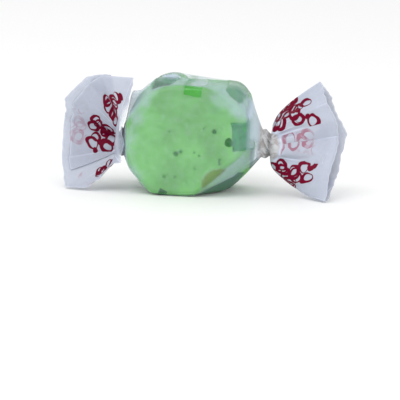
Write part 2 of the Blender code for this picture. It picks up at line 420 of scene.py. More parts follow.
def unevenness(points, normals):
    """Soft dents and swells, with fine pull lines that run along the rope on its side."""
    moved = points.copy()
    for i, (point, normal) in enumerate(zip(points, normals)):
        spot = Vector(point) / MM
        swell = noise.noise(spot * 0.16 + Vector((3, 1, 7))) * 0.22
        lump = noise.noise(spot * 0.55) * 0.07
        side = 1 - abs(normal[1])
        pulled = Vector((spot.x * 1.3, spot.y * 0.12, spot.z * 1.3))
        lines = noise.noise(pulled) * 0.10 * side
        moved[i] += normal * (swell * side + lump * side + lump * 0.4 + lines) * MM
    moved[:, 1] += pit_depths(points)[0] * MM
    moved[:, 2] = np.maximum(moved[:, 2], CANDY_FLOOR * MM)
    return moved


def add_rope(name, settings):
    deselect_all()
    bpy.ops.mesh.primitive_uv_sphere_add(segments=ROPE_SEGMENTS, ring_count=ROPE_RINGS, radius=1)
    piece = new_piece(name)
    points = get_points(piece) @ np.array(Matrix.Rotation(math.pi / 2, 3, "X")).T
    set_points(piece, rope_points(points, settings.length, settings.middle))
    normals = np.array([v.normal[:] for v in piece.data.vertices])
    set_points(piece, unevenness(get_points(piece), normals))
    return piece


# Materials


def new_material(name, colour, roughness, **sockets):
    material = bpy.data.materials.new(name)
    material.use_nodes = True
    shader = material.node_tree.nodes["Principled BSDF"]
    shader.inputs["Base Color"].default_value = (*colour, 1)
    shader.inputs["Roughness"].default_value = roughness
    for socket, value in sockets.items():
        shader.inputs[socket.replace("_", " ")].default_value = value
    return material, material.node_tree, shader


class Wiring:
    """Short calls for the nodes that a tree needs."""

    def __init__(self, tree):
        self.tree = tree

    def node(self, kind, **values):
        made = self.tree.nodes.new(kind)
        for key, value in values.items():
            setattr(made, key, value)
        return made

    def link(self, source, target):
        self.tree.links.new(source, target)

    def feed(self, made, inputs):
        for key, value in inputs.items():
            if isinstance(value, bpy.types.NodeSocket):
                self.link(value, made.inputs[key])
            else:
                made.inputs[key].default_value = value
        return made

    def math(self, operation, a, b=0.0, c=0.0, clamp=False):
        made = self.node("ShaderNodeMath", operation=operation, use_clamp=clamp)
        return self.feed(made, {0: a, 1: b, 2: c}).outputs[0]

    def step(self, value, low, high, to_low=0.0, to_high=1.0):
        made = self.node("ShaderNodeMapRange", interpolation_type="SMOOTHSTEP")
        inputs = {"Value": value, "From Min": low, "From Max": high}
        inputs.update({"To Min": to_low, "To Max": to_high})
        return self.feed(made, inputs).outputs["Result"]

    def mix(self, factor, a, b):
        made = self.node("ShaderNodeMix", data_type="RGBA")
        return self.feed(made, {"Factor": factor, "A": a, "B": b}).outputs["Result"]

    def noise(self, vector, scale, detail=2.0, roughness=0.5):
        made = self.node("ShaderNodeTexNoise")
        inputs = {"Vector": vector, "Scale": scale, "Detail": detail, "Roughness": roughness}
        return self.feed(made, inputs).outputs["Fac"]

    def bump(self, height, strength, distance):
        made = self.node("ShaderNodeBump")
        return self.feed(made, {"Height": height, "Strength": strength, "Distance": distance})


def rgba(colour, scale=1.0):
    return (*(min(1.0, c * scale) for c in colour), 1)


def taffy_material(colour, jelly_colour):
    """Pulled taffy: satin, a little uneven in colour, with darker specks, painted shade in its air holes and dents,
    and fine pull lines on its side.
    """
    material, tree, shader = new_material(
        "pulled taffy", colour, 0.5, Subsurface_Weight=0.2, Subsurface_Scale=0.0012
    )
    shader.inputs["Subsurface Radius"].default_value = (0.6, 1.0, 0.5)
    wires = Wiring(tree)
    place = wires.node("ShaderNodeTexCoord").outputs["Object"]
    stretch = wires.node("ShaderNodeMapping")
    wires.link(place, stretch.inputs["Vector"])
    stretch.inputs["Scale"].default_value = (1, 0.18, 1)
    cloudy = wires.noise(place, 170, 4, 0.6)
    pulled = wires.noise(stretch.outputs["Vector"], 900, 4, 0.6)
    tone = wires.mix(wires.step(cloudy, 0.3, 0.7), rgba(colour, 0.82), rgba(colour, 1.16))
    specks = wires.step(wires.noise(place, 950, 1), 0.66, 0.74)
    # Painted shade in the pits: the colour turns toward dark jelly in each air hole and dent.
    pit = wires.node("ShaderNodeAttribute", attribute_name="pit").outputs["Fac"]
    dark = wires.math("MAXIMUM", wires.math("MULTIPLY", specks, 0.2), wires.math("MULTIPLY", pit, 0.4))
    flat = wires.node("ShaderNodeVectorMath", operation="MULTIPLY")
    wires.feed(flat, {0: place, 1: (1, 0.1, 1)})
    # Crisp spots of painted shade in the darker pits.
    for x, z, radius, _, shade in PITS:
        if shade > 0.3:
            away = wires.node("ShaderNodeVectorMath", operation="DISTANCE")
            wires.feed(away, {0: flat.outputs[0], 1: (x * MM, -0.00098, z * MM)})
            spot = wires.step(away.outputs["Value"], 0.7 * radius * MM, 1.2 * radius * MM, shade, 0.0)
            dark = wires.math("MAXIMUM", dark, spot)
    wires.link(wires.mix(dark, tone, rgba(jelly_colour, 0.55)), shader.inputs["Base Color"])
    wires.link(wires.bump(pulled, 0.35, 0.0001).outputs["Normal"], shader.inputs["Normal"])
    return material


def stripe_material(colour, lit_colour):
    """Clear, glossy jelly in a dark green. The light coming through one stripe is painted as a brighter colour, and
    painted shade darkens the stripes that lie deep in shade.
    """
    material, tree, shader = new_material(
        "jelly stripe", colour, 0.16, Subsurface_Weight=0.4, Subsurface_Scale=0.001, Coat_Weight=0.3
    )
    shader.inputs["Subsurface Radius"].default_value = (0.1, 1.0, 0.1)
    wires = Wiring(tree)
    place = wires.node("ShaderNodeTexCoord").outputs["Object"]
    stretch = wires.node("ShaderNodeMapping")
    wires.link(place, stretch.inputs["Vector"])
    stretch.inputs["Scale"].default_value = (1, 0.12, 1)
    streak = wires.noise(stretch.outputs["Vector"], 1100, 3)
    tone = wires.mix(wires.step(streak, 0.35, 0.7), rgba(colour, 0.75), rgba(colour, 1.35))
    lit = wires.node("ShaderNodeAttribute", attribute_name="lit").outputs["Fac"]
    # Painted shade where the light value is -1, painted light where it is 1.
    tone = wires.mix(wires.math("MULTIPLY", lit, -1.0, clamp=True), tone, rgba(colour, 0.5))
    tone = wires.mix(wires.math("MULTIPLY", lit, 1.0, clamp=True), tone, rgba(lit_colour))
    wires.link(tone, shader.inputs["Base Color"])
    wires.link(wires.bump(streak, 0.35, 0.0001).outputs["Normal"], shader.inputs["Normal"])
    return material


def crumple_group():
    """Group: a height field of soft folds and fine creases, for paper, from a position in metres."""
    group = bpy.data.node_groups.new("paper crumple", "ShaderNodeTree")
    group.interface.new_socket("Vector", in_out="INPUT", socket_type="NodeSocketVector")
    group.interface.new_socket("Height", in_out="OUTPUT", socket_type="NodeSocketFloat")
    group.interface.new_socket("Lines", in_out="OUTPUT", socket_type="NodeSocketFloat")
    wires = Wiring(group)
    source = wires.node("NodeGroupInput").outputs["Vector"]
    target = wires.node("NodeGroupOutput")
    warp = wires.node("ShaderNodeTexNoise")
    wires.feed(warp, {"Vector": source, "Scale": 300.0, "Detail": 2.0})
    moved = wires.node("ShaderNodeVectorMath", operation="MULTIPLY_ADD")
    wires.feed(moved, {0: warp.outputs["Color"], 1: (0.002, 0.002, 0.002), 2: source})
    folds = wires.node("ShaderNodeTexVoronoi", feature="DISTANCE_TO_EDGE")
    wires.feed(folds, {"Vector": moved.outputs[0], "Scale": 230.0})
    small = wires.node("ShaderNodeTexVoronoi", feature="F1")
    wires.feed(small, {"Vector": moved.outputs[0], "Scale": 620.0})
    fibre = wires.noise(source, 5200, 2)
    facet = wires.math("MINIMUM", folds.outputs["Distance"], 0.35)
    height = wires.math("MULTIPLY_ADD", small.outputs["Distance"], 0.25, facet)
    wires.link(wires.math("MULTIPLY_ADD", fibre, 0.03, height), target.inputs["Height"])
    wires.link(wires.step(folds.outputs["Distance"], 0.0, 0.05, 1.0, 0.0), target.inputs["Lines"])
    return group


def kept_whole(wires, centre, radius, start, sector, random):
    """1 for a mark whose centre lies far enough from its sector's sides, and 1 for one that is also on the printed
    part of a flared end."""
    place = wires.node("ShaderNodeSeparateXYZ")
    wires.link(centre, place.inputs[0])
    out = wires.math("ABSOLUTE", wires.math("SUBTRACT", place.outputs["X"], start))
    row = wires.math("MULTIPLY_ADD", place.outputs["Y"], 1 / SECTOR_SHIFT, -0.75 / SECTOR_SHIFT)
    row = wires.math("SUBTRACT", row, wires.math("ROUND", row))
    aside = wires.math("MULTIPLY", wires.math("ABSOLUTE", row), SECTOR_SHIFT)
    room = wires.math("MULTIPLY", wires.math("MULTIPLY_ADD", out, 0.55, 3.1), sector)
    whole = wires.math("LESS_THAN", aside, wires.math("SUBTRACT", room, 0.85 * radius))
    end = wires.math("MULTIPLY_ADD", wires.math("GREATER_THAN", place.outputs["X"], start), 2.8, 5.4)
    end = wires.math("MULTIPLY_ADD", random, 2.2, end)
    printed = wires.math("MULTIPLY", wires.math("GREATER_THAN", out, 1.2), wires.math("LESS_THAN", out, end))
    return whole, wires.math("MULTIPLY", whole, printed)


def ring_layer(wires, where, scale, radius, kept, start, sector):
    """Thick and thin rings, one in most cells of a loose grid: 1 on a ring's line and 0 beside it. The second value
    has only the rings on the printed part."""
    cells = wires.node("ShaderNodeTexVoronoi", voronoi_dimensions="2D")
    wires.feed(cells, {"Vector": where, "Scale": scale, "Randomness": 0.16})
    random = wires.node("ShaderNodeSeparateColor")
    wires.link(cells.outputs["Color"], random.inputs[0])
    away = wires.node("ShaderNodeVectorMath", operation="SUBTRACT")
    wires.feed(away, {0: where, 1: cells.outputs["Position"]})
    lean = wires.node("ShaderNodeVectorMath", operation="MULTIPLY_ADD")
    wires.feed(lean, {0: cells.outputs["Color"], 1: (0.7, 0.7, 0), 2: (-0.35, -0.35, 0)})
    inner = wires.node("ShaderNodeVectorMath", operation="SUBTRACT")
    wires.feed(inner, {0: away.outputs[0], 1: lean.outputs[0]})
    outer_length = wires.node("ShaderNodeVectorMath", operation="LENGTH")
    wires.link(away.outputs[0], outer_length.inputs[0])
    inner_length = wires.node("ShaderNodeVectorMath", operation="LENGTH")
    wires.link(inner.outputs[0], inner_length.inputs[0])
    outer_radius = wires.math("MULTIPLY_ADD", random.outputs[0], 0.25 * radius, 0.85 * radius)
    in_outer = wires.math("SUBTRACT", outer_radius, outer_length.outputs["Value"])
    out_inner = wires.math("MULTIPLY_ADD", outer_radius, -0.58, inner_length.outputs["Value"])
    ring = wires.step(wires.math("MINIMUM", in_outer, out_inner), -0.04, 0.06)
    ring = wires.math("MULTIPLY", ring, wires.math("LESS_THAN", random.outputs[1], kept))
    whole, here = kept_whole(wires, cells.outputs["Position"], radius, start, sector, random.outputs[2])
    return wires.math("MULTIPLY", ring, whole), wires.math("MULTIPLY", ring, here)


def print_group():
    """Group: where the ink lies, from the sheet's own coordinates in mm: overlapping rings of two sizes, and dots.
    Traces are rings all over the sheet."""
    group = bpy.data.node_groups.new("ring print", "ShaderNodeTree")
    group.interface.new_socket("Sheet", in_out="INPUT", socket_type="NodeSocketVector")
    group.interface.new_socket("Sector", in_out="INPUT", socket_type="NodeSocketFloat")
    group.interface.new_socket("Ink", in_out="OUTPUT", socket_type="NodeSocketFloat")
    group.interface.new_socket("Traces", in_out="OUTPUT", socket_type="NodeSocketFloat")
    wires = Wiring(group)
    source = wires.node("NodeGroupInput")
    sheet, sector = source.outputs["Sheet"], source.outputs["Sector"]
    warp = wires.node("ShaderNodeTexNoise")
    wires.feed(warp, {"Vector": sheet, "Scale": 0.35, "Detail": 1.0})
    shifted = wires.node("ShaderNodeVectorMath", operation="MULTIPLY_ADD")
    wires.feed(shifted, {0: warp.outputs["Color"], 1: (1.5, 1.5, 0), 2: sheet})
    where = shifted.outputs[0]
    traces, ink = [], []
    for place, scale, radius in ((0, 0.36, 1.25), (41.2, 0.31, 1.45), (83.9, 0.34, 1.3)):
        moved = wires.node("ShaderNodeVectorMath", operation="ADD")
        wires.feed(moved, {0: where, 1: (place, 5 * SECTOR_SHIFT, 0)})
        every, printed = ring_layer(wires, moved.outputs[0], scale, radius, 0.9, place + 0.75, sector)
        traces.append(every)
        ink.append(printed)
    dots = wires.node("ShaderNodeTexVoronoi", voronoi_dimensions="2D")
    wires.feed(dots, {"Vector": where, "Scale": 0.25, "Randomness": 1.0})
    dot = wires.step(dots.outputs["Distance"], 0.13, 0.15, 1.0, 0.0)
    marked = wires.node("ShaderNodeSeparateColor")
    wires.link(dots.outputs["Color"], marked.inputs[0])
    _, here = kept_whole(wires, dots.outputs["Position"], 0.6, 0.75, sector, marked.outputs[2])
    target = wires.node("NodeGroupOutput")
    wires.link(wires.math("MAXIMUM", traces[0], traces[1]), target.inputs["Traces"])
    ink.append(wires.math("MULTIPLY", dot, here))
    marks = ink[0]
    for mark in ink[1:]:
        marks = wires.math("MAXIMUM", marks, mark)
    wires.link(marks, target.inputs["Ink"])
    return group


def paper_material(colour, tint, ink_colour, crumple, rings):
    """Printed wax paper: nearly clear where it clings to the candy, cloudy where it stands off, whiter at creases.
    Creases and the cut edge carry a painted highlight besides the whitening of creased wax. The colour carries painted
    light near the candy, over the jelly and on the right cone, and painted shade on the lower right side and in the
    necks.
    """
    material, tree, shader = new_material("printed wax paper", colour, 0.4, Specular_IOR_Level=0.08)
    wires = Wiring(tree)
    place = wires.node("ShaderNodeTexCoord").outputs["Object"]
    veil, tinted, jelly_and_shade, crease, rim, twist, flare, sector, zone, faded, stain, cone = (
        wires.node("ShaderNodeAttribute", attribute_name=name).outputs["Fac"]
        for name in PAPER_VALUES
    )
    sheet = wires.node("ShaderNodeUVMap", uv_map="sheet").outputs["UV"]
    crumpled = wires.node("ShaderNodeGroup", node_tree=crumple)
    wires.link(place, crumpled.inputs["Vector"])
    printed = wires.node("ShaderNodeGroup", node_tree=rings)
    wires.link(sheet, printed.inputs["Sheet"])
    wires.link(sector, printed.inputs["Sector"])
    patch = wires.math("SUBTRACT", wires.noise(sheet, 0.2, 1), 0.5)
    ink = wires.math("MULTIPLY", printed.outputs["Ink"], wires.step(zone, 0.45, 0.55))
    soft = wires.step(wires.math("MULTIPLY_ADD", patch, -2.2, faded), 0.85, 1.3)
    smudge = wires.step(wires.noise(sheet, 0.55, 2), 0.52, 0.66)
    worn = wires.math("MULTIPLY_ADD", printed.outputs["Traces"], 0.13, wires.math("MULTIPLY", smudge, 0.03))
    worn = wires.math("MULTIPLY", worn, wires.step(wires.noise(sheet, 0.8, 3), 0.3, 0.65, 0.3, 1.0))
    ghost = wires.math("MULTIPLY", wires.math("MULTIPLY", worn, soft), wires.step(faded, 1.0, 2.0, 1.0, 2.6))
    mottle = wires.math("SUBTRACT", wires.noise(place, 330, 3, 0.6), 0.5)
    loose = wires.math("MULTIPLY_ADD", mottle, 0.45, veil)
    cloudy = wires.step(loose, 0.12, 1.0, 0.015, 0.19)
    cloudy = wires.math("ADD", cloudy, wires.step(veil, 1.0, 2.0, 0.0, 0.46))
    cloudy = wires.math("MULTIPLY_ADD", flare, 0.03, cloudy)
    cloudy = wires.math("MULTIPLY_ADD", crease, 0.10, cloudy)
    edge = wires.step(rim, 0.1, 0.35, 1.0, 0.0)
    cloudy = wires.math("MULTIPLY_ADD", edge, 0.12, cloudy)
    cloudy = wires.math("MULTIPLY_ADD", twist, 0.2, cloudy)
    fine = wires.math("MULTIPLY", crumpled.outputs["Lines"], wires.step(veil, 0.2, 1.5, 0.0, 0.025))
    mottled = wires.step(wires.noise(place, 800, 4, 0.7), 0.4, 0.7, 0.0, 0.022)
    fine = wires.math("MULTIPLY_ADD", mottled, wires.math("SUBTRACT", 1.0, jelly_and_shade, clamp=True), fine)
    cloudy = wires.math("ADD", cloudy, fine, clamp=True)
    stained = wires.math("MULTIPLY", stain, wires.step(wires.noise(sheet, 0.8, 2), 0.1, 0.4))
    cloudy = wires.math("MULTIPLY_ADD", stained, 0.17, cloudy)
    alpha = wires.math("MAXIMUM", cloudy, wires.math("MULTIPLY", ink, 0.96))
    alpha = wires.math("MAXIMUM", alpha, ghost)
    wires.link(alpha, shader.inputs["Alpha"])
    # Painted light: close to the candy the paper turns to the brighter tint, and over the jelly to teal, for the light
    # it scatters back from them.
    shade = wires.mix(tinted, rgba(colour), rgba(tint))
    uneven = wires.step(wires.noise(place, 420, 3), 0.35, 0.65, 0.8, 1.0)
    teal = wires.math("MULTIPLY", wires.math("MINIMUM", jelly_and_shade, 1.0), uneven)
    shade = wires.mix(teal, shade, rgba((0.21, 0.46, 0.37)))
    # Painted shade: a dark grey-teal for the shaded lower right side (value 2), laid in part over the stripe beside
    # the ridge too.
    shade = wires.mix(wires.step(jelly_and_shade, 1.0, 2.0), shade, rgba((0.145, 0.27, 0.205)))
    # Painted highlight: creases and the cut edge turn brighter, along with the real whitening of creased wax.
    shade = wires.mix(wires.math("MAXIMUM", crease, wires.math("MULTIPLY", edge, 0.4)), shade, rgba(colour, 1.3))
    # Painted light: the paper of the right cone is painted a brighter pale blue.
    shade = wires.mix(wires.math("MULTIPLY", cone, 0.9), shade, rgba((0.70, 0.83, 0.89)))
    # The twisted necks: darker beige for the many layers of paper with ink hidden between them, with painted shade of
    # the bunched folds in the dark streaks.
    streaks = wires.step(wires.noise(place, 800, 3, 0.6), 0.42, 0.62)
    bunched = wires.mix(streaks, rgba((0.64, 0.62, 0.62)), rgba((0.42, 0.36, 0.33)))
    shade = wires.mix(wires.math("MULTIPLY", twist, 0.8), shade, bunched)
    shade = wires.mix(wires.math("MULTIPLY", ghost, 4.0, clamp=True), shade, rgba((0.45, 0.22, 0.30)))
    shade = wires.mix(stained, shade, rgba((0.29, 0.25, 0.13)))
    wires.link(wires.mix(ink, shade, rgba(ink_colour)), shader.inputs["Base Color"])
    relief = wires.bump(crumpled.outputs["Height"], 0.2, 0.0003)
    wires.link(relief.outputs["Normal"], shader.inputs["Normal"])
    return material


# The paper


def neck_height(place):
    """Height in metres of the line from one neck to the other, at this place along X."""
    left, low = LEFT_NECK[0] * MM, LEFT_NECK[2] * MM
    right, high = RIGHT_NECK[0] * MM, RIGHT_NECK[2] * MM
    return low + (high - low) * np.clip((place - left) / (right - left), 0, 1)


def straight_over(places, radii):
    """The lowest curve without a dip that stays on or above these radii, as paper pulled tight lies."""
    kept = []
    for point in zip(places, radii):
        while len(kept) > 1:
            (x0, r0), (x1, r1) = kept[-2], kept[-1]
            if (r1 - r0) * (point[0] - x0) > (point[1] - r0) * (x1 - x0):
                break
            kept.pop()
        kept.append(point)
    return np.interp(places, [x for x, _ in kept], [r for _, r in kept])


def cast_radii(tree):
    """For each direction and place, how far the candy and the tight paper over it lie from the neck line."""
    left, right = LEFT_NECK[0] * MM, RIGHT_NECK[0] * MM
    places = np.linspace(left, right, CAST_ROWS)
    start = 0.04
    candy = np.empty((CAST_COLUMNS, CAST_ROWS))
    tight = np.empty((CAST_COLUMNS, CAST_ROWS))
    for i in range(CAST_COLUMNS):
        angle = 2 * math.pi * i / CAST_COLUMNS
        outward = Vector((0, math.cos(angle), math.sin(angle)))
        for k, place in enumerate(places):
            axis = Vector((place, 0, neck_height(place)))
            hit = tree.ray_cast(axis + outward * start, -outward, start)
            candy[i, k] = max(NECK_RADIUS * MM, start - hit[3] if hit[0] else 0.0)
        tight[i] = straight_over(places, candy[i])
    return places, candy, tight


def pleats(angle, fine=1.0):
    """Sharp folds round a gathered neck, from -1 in a valley to 1 on a ridge; uneven in depth and spacing."""
    total = np.zeros_like(angle)
    for count, weight, phase in ((5, 0.40, 0.4), (9, 0.34, 2.1), (17, 0.26 * fine, 4.4)):
        wave = np.abs(np.sin(count * angle / 2 + phase))
        total += weight * (1 - 2 * wave)
    return total


def closing(angle, share):
    """How far the paper folds inward to shut a twisted neck, in mm; share is 1 in the neck and falls to 0 beyond."""
    return CLOSING_DEPTH * share * ((1 - pleats(angle, 0.5)) / 2) ** 1.2


def wandering(*place):
    """A smooth random value from about -1 to 1 at this place."""
    return noise.noise(Vector(place)) * 1.6


def crease_lines(angles, place, seed):
    """Thin ridges, 1 on a line and 0 away from it, that run mostly along X; place is in mm."""
    values = [
        1 - min(1.0, 5 * abs(wandering(a * 3.2, place * 0.13 + a * 0.4, seed))) for a in angles
    ]
    return np.array(values)


def slanted(angles, place):
    """The columns' directions at this place along X: the outer free edge lies lower toward the right neck."""
    share = np.clip((place / MM - 3) / 12, 0, 1)
    outer = smooth((np.degrees(angles) - SHEET_START - SHEET_TURN + 90) / 90)
    return angles + math.radians(FREE_EDGE_SLANT) * share * outer


def body_rows(tree, angles, lifted):
    """The paper over the candy, from the left neck to the right one."""
    places, candy, tight = cast_radii(tree)
    step = np.linspace(-1, 1, BODY_ROWS)
    step = 0.6 * step + 0.4 * np.sin(step * math.pi / 2)
    lean = np.hypot(1, np.gradient(tight, places, axis=1)).clip(1, 3)
    left, right = LEFT_NECK[0] * MM, RIGHT_NECK[0] * MM
    rows = np.empty((BODY_ROWS, len(angles), 3))
    for k, share in enumerate(step):
        place = left + (right - left) * (share + 1) / 2
        turned = slanted(angles, place)
        degrees = np.degrees(turned) % 360
        column = degrees / 360 * CAST_COLUMNS
        low = np.floor(column).astype(int) % CAST_COLUMNS
        part = column - np.floor(column)
        over_top = smooth(1 - np.abs(degrees - 100) / 60)
        under = smooth(1 - np.abs(degrees - 265) / 50)
        found = []
        for table in (tight, candy, lean):
            ring = np.array([np.interp(place, places, row) for row in table])
            found.append(ring[low] * (1 - part) + ring[(low + 1) % CAST_COLUMNS] * part)
        span, skin, steep = found
        dip = (span - skin) / MM
        sink = 0.85 * dip * smooth(1.6 - dip) * over_top * smooth((9.5 - abs(place) / MM) / 3)
        end = right if place > 0 else left
        near_end = (abs(place) / MM - PLEAT_START) / (abs(end) / MM - PLEAT_START)
        gather = smooth(near_end) ** 1.5
        fold = (pleats(angles) - 0.4) * PLEAT_DEPTH * gather
        loose = 0.35 * over_top + 0.5 * smooth(near_end * 1.6) * (1 - gather)
        puffs = np.array([max(0.0, wandering(a * 2.2, place / MM * 0.22, 1.7)) for a in angles])
        on_face = smooth(2 - np.abs(degrees - 190) / 30) * smooth((12.5 - abs(place) / MM) / 2)
        lines = crease_lines(angles, place / MM, 5.1) * (1 - on_face)
        stand = CLING_GAP + LAYER_GAP * lifted + loose * (0.25 + 0.6 * puffs) + (0.05 + 0.3 * loose) * lines
        stand = stand * (1 - 0.9 * under) + (steep - 1) * (CLING_GAP + LAYER_GAP * lifted)
        web = 3.4 * math.exp(-(((place / MM + 12.4) / 1.2) ** 2)) * smooth((place - left) / MM / 1.2)
        web *= np.exp(-(((degrees - 78) / 30) ** 2))
        radius = span + (stand + fold - sink + web) * MM
        rows[k, :, 0] = place
        rows[k, :, 1] = radius * np.cos(turned)
        rows[k, :, 2] = neck_height(place) + radius * np.sin(turned)
    return rows


def end_rows(neck, edge, shoulder, twist, angles, lifted, inner, folds):
    """One end of the paper: along its twisted neck, then out to the cut edge; folds is 0 for an end without any."""
    start, end, height = (value * MM for value in neck)
    side = math.copysign(1, end)
    keys = np.array(edge)
    rows = []
    fold = (pleats(angles) * folds - 0.4) * PLEAT_DEPTH
    uneven = np.array([0.4 * wandering(a * 1.7, 3.3, side) + 0.2 * wandering(a * 7, 8.1, side) for a in angles])
    for k in range(1, NECK_ROWS + FAN_ROWS + 1):
        twisted = min(1.0, k / NECK_ROWS)
        share = max(0.0, (k - NECK_ROWS) / FAN_ROWS)
        turned = slanted(angles, start) + math.radians(twist) * twisted
        outward = np.stack([np.zeros_like(turned), np.cos(turned), np.sin(turned)], axis=1)
        waist = 0.1 * math.sin(math.pi * min(1.0, k / NECK_ROWS)) - 0.15 * smooth(3 * twisted - 2)
        turned_degrees = np.degrees(turned)
        in_front = smooth(1.5 - np.abs(turned_degrees % 360 - 190) / 65)
        shut = closing(angles, folds * smooth((twisted - 0.4) / 0.5) * smooth(1 - share / 0.12)) * (1 - 0.6 * in_front)
        root = outward * ((NECK_RADIUS + CLING_GAP - waist + fold - shut + LAYER_GAP * lifted) * MM)[:, None]
        root[:, 0] = start + (end - start) * twisted
        root[:, 2] += height
        rim = [np.interp(turned_degrees, keys[:, 0], keys[:, c], period=360) for c in (1, 2, 3)]
        rim = np.stack([rim[0] + uneven, *rim[1:]], axis=1) * MM * (side, 1, 1) + (end, 0, height)
        upright = np.sin(turned)[:, None] ** 2
        bend = root + outward * (shoulder[0] * upright + shoulder[1] * (1 - upright)) * MM
        reach = (share * (1 - 0.07 * inner))[:, None]
        spot = (1 - reach) ** 2 * root + 2 * reach * (1 - reach) * bend + reach**2 * rim
        rows.append(spot)
    return np.array(rows)


def grid_normals(rows):
    around = np.gradient(rows, axis=1)
    along = np.gradient(rows, axis=0)
    normal = np.cross(around, along)
    return normal / np.linalg.norm(normal, axis=2, keepdims=True)


def sectors(degrees, ends):
    """The number of the sector that each direction lies in, the direction of its middle, and its width."""
    lap = np.floor((degrees - ends[-1]) / 360)
    past = degrees - ends[-1] - 360 * lap
    starts = np.array([0, *(end - ends[-1] + 360 for end in ends[:-1]), 360])
    index = np.searchsorted(starts, past, side="right") - 1
    middle = (starts[index] + starts[index + 1]) / 2
    return index + lap * len(ends), degrees + middle - past, starts[index + 1] - starts[index]


def sheet_map(rows, angles):
    """The sheet's own coordinates in mm: out from the neck, or along the body, and round from the middle of a
    sector. Also the distance to the sheet's edge, and half of each sector's width in radians."""
    steps = np.linalg.norm(np.diff(rows, axis=0), axis=2) / MM
    along = np.concatenate([np.zeros((1, rows.shape[1])), np.cumsum(steps, axis=0)])
    steps = np.linalg.norm(np.diff(rows, axis=1), axis=2) / MM
    around = np.concatenate([np.zeros((len(rows), 1)), np.cumsum(steps, axis=1)], axis=1)
    rim = np.minimum(along, along[-1] - along)
    rim = np.minimum(rim, np.minimum(around, around[:, -1:] - around))
    half = np.empty_like(rim)
    degrees = np.degrees(angles)
    end = FAN_ROWS + NECK_ROWS
    for first, last, neck, twist, ends in (
        (0, end, FAN_ROWS, LEFT_TWIST, LEFT_SECTORS),
        (end, len(rows) - end, len(rows) // 2, 0, (360,)),
        (len(rows) - end, len(rows), len(rows) - FAN_ROWS - 1, RIGHT_TWIST, RIGHT_SECTORS),
    ):
        number, middle, width = sectors(degrees + twist, ends)
        column = np.rint(np.interp(middle - twist, degrees, np.arange(len(degrees)))).astype(int)
        along[first:last] -= along[neck].copy()
        around[first:last] += SECTOR_SHIFT * number - around[first:last, column]
        half[first:last] = np.radians(width / 2)
    return along, around, rim, half


def sharpness(rows):
    """How sharply the sheet bends at each point, in 1/mm."""
    normal = grid_normals(rows)
    bends = []
    for axis in (0, 1):
        before, after = np.roll(rows, 1, axis), np.roll(rows, -1, axis)
        length = np.linalg.norm(after - before, axis=2) / 2
        bend = np.abs(((after - 2 * rows + before) * normal).sum(axis=2)) / np.maximum(length, 0.1 * MM) ** 2 * MM
        edge = [slice(None)] * 2
        for last in (0, -1):
            edge[axis] = last
            bend[tuple(edge)] = 0
        bends.append(bend)
    return np.maximum(*bends)


def above_floor(rows):
    """Eases what comes near the floor, so that it bends along it."""
    room = (EASED_HEIGHT - FLOOR_CLEARANCE) * MM
    below = np.minimum(rows[..., 2] - EASED_HEIGHT * MM, 0)
    eased = FLOOR_CLEARANCE * MM + room * np.exp(below / room)
    rows[..., 2] = np.where(below < 0, eased, rows[..., 2])


def fold_fan(rows, angles, lifted, side, twist, tube):
    """Folds the flared part of one end, whose rows run from the neck to the cut edge."""
    normal = grid_normals(rows) * side
    turned = np.degrees(angles + math.radians(twist)) % 360
    middle, half, height = tube
    away = np.abs((turned - middle + 180) % 360 - 180) / half
    bulge = np.cos(np.minimum(away, 1) * math.pi / 2).clip(0) ** 0.7 - 0.5 * np.exp(-(((away - 1.1) / 0.25) ** 2))
    for k in range(NECK_ROWS + 1, len(rows)):
        share = (k - NECK_ROWS) / FAN_ROWS
        rise = 0.5 * smooth(2.2 * share) * (1 - 0.75 * share)
        fold = pleats(angles, 0) * rise
        pipe = height * bulge * smooth(4 * share) * smooth((0.92 - share) * 3)
        ripple = np.array([wandering(a * 2.5, share * 1.6, side * 4.0) for a in angles])
        flap = lifted * (LAYER_GAP + 0.25 * share)
        rows[k] += normal[k] * ((fold + pipe + 0.35 * ripple * share + flap) * MM)[:, None]
    above_floor(rows[NECK_ROWS:])
    return rows


def sheet_shape(tree):
    """The sheet's rows of points, the same without the folds in its ends, its columns' angles and how far its outer
    layer is lifted over the inner one."""
    angles = np.radians(SHEET_START + SHEET_TURN * np.linspace(0, 1, COLUMNS))
    degrees = np.degrees(angles)
    lifted = smooth((degrees - LIFT_START) / LIFT_TURN)
    inner = 1 - smooth((degrees - SHEET_START - 100) / 40)
    plain, folded = [], []
    for side, neck, edge, shoulder, twist, tube in SHEET_ENDS:
        smooth_end, end = (end_rows(neck, edge, shoulder, twist, angles, lifted, inner, folds) for folds in (0, 1))
        plain.append(smooth_end)
        folded.append(fold_fan(end, angles, lifted, side, twist, tube))
    body = body_rows(tree, angles, lifted)
    flat = np.concatenate([plain[0][::-1], body, plain[1]])
    rows = np.concatenate([folded[0][::-1], body, folded[1]])
    rows[..., 2] = np.maximum(rows[..., 2], 0.02 * MM)
    return rows, flat, angles, lifted


def add_sheet(name, rows):
    """A grid primitive laid over these rows."""
    along, around = rows.shape[:2]
    deselect_all()
    bpy.ops.mesh.primitive_grid_add(x_subdivisions=around - 1, y_subdivisions=along - 1, size=2)
    piece = new_piece(name)
    flat = get_points(piece)
    i = np.rint((flat[:, 0] + 1) / 2 * (around - 1)).astype(int)
    k = np.rint((flat[:, 1] + 1) / 2 * (along - 1)).astype(int)
    set_points(piece, rows[k, i])
    return piece, k, i


def store_float(piece, name, values):
    made = piece.data.attributes.new(name, "FLOAT", "POINT")
    made.data.foreach_set("value", values.astype(np.float32))


def store_sheet_map(piece, u, v):
    layer = piece.data.uv_layers[0]
    layer.name = "sheet"
    index = np.empty(len(piece.data.loops), dtype=np.int32)
    piece.data.loops.foreach_get("vertex_index", index)
    layer.data.foreach_set("uv", np.stack([u[index], v[index]], axis=1).astype(np.float32).ravel())


